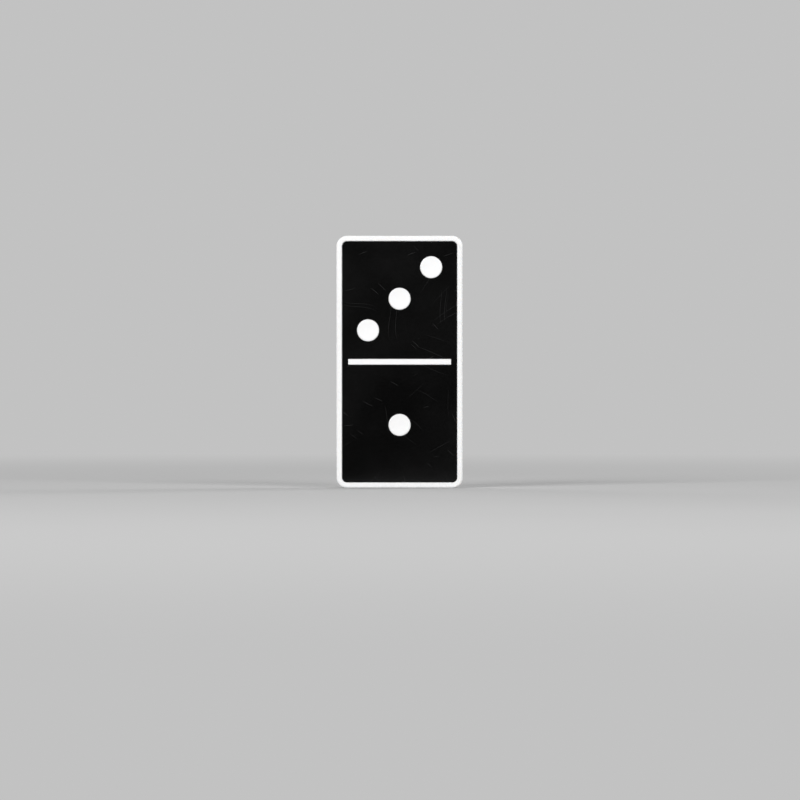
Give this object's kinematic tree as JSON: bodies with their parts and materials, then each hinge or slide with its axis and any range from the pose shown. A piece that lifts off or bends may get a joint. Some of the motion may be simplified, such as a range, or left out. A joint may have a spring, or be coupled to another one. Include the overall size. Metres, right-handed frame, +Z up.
{
  "type": "domino tile",
  "caption": "Domino tile with a white body, a black inlaid face, a white divider bar and white inlaid pips, three over one.",
  "frame": {"origin": "middle of the short end that the tile stands on", "axes": "+Z up along the tile's length towards the half with three pips, -Y out of the pipped face, +X across the face to its right as seen from the front"},
  "size_m": [0.0254, 0.0094, 0.0508],
  "materials": {
    "white_body": "gloss",
    "black_face": "satin",
    "white_inlay": "gloss"
  },
  "bodies": {
    "root": {"body": "white_body", "face_panel": "black_face", "divider_bar": "white_inlay", "pip_three_upper": "white_inlay", "pip_three_middle": "white_inlay", "pip_three_lower": "white_inlay", "pip_one": "white_inlay"}
  },
  "joints": []
}
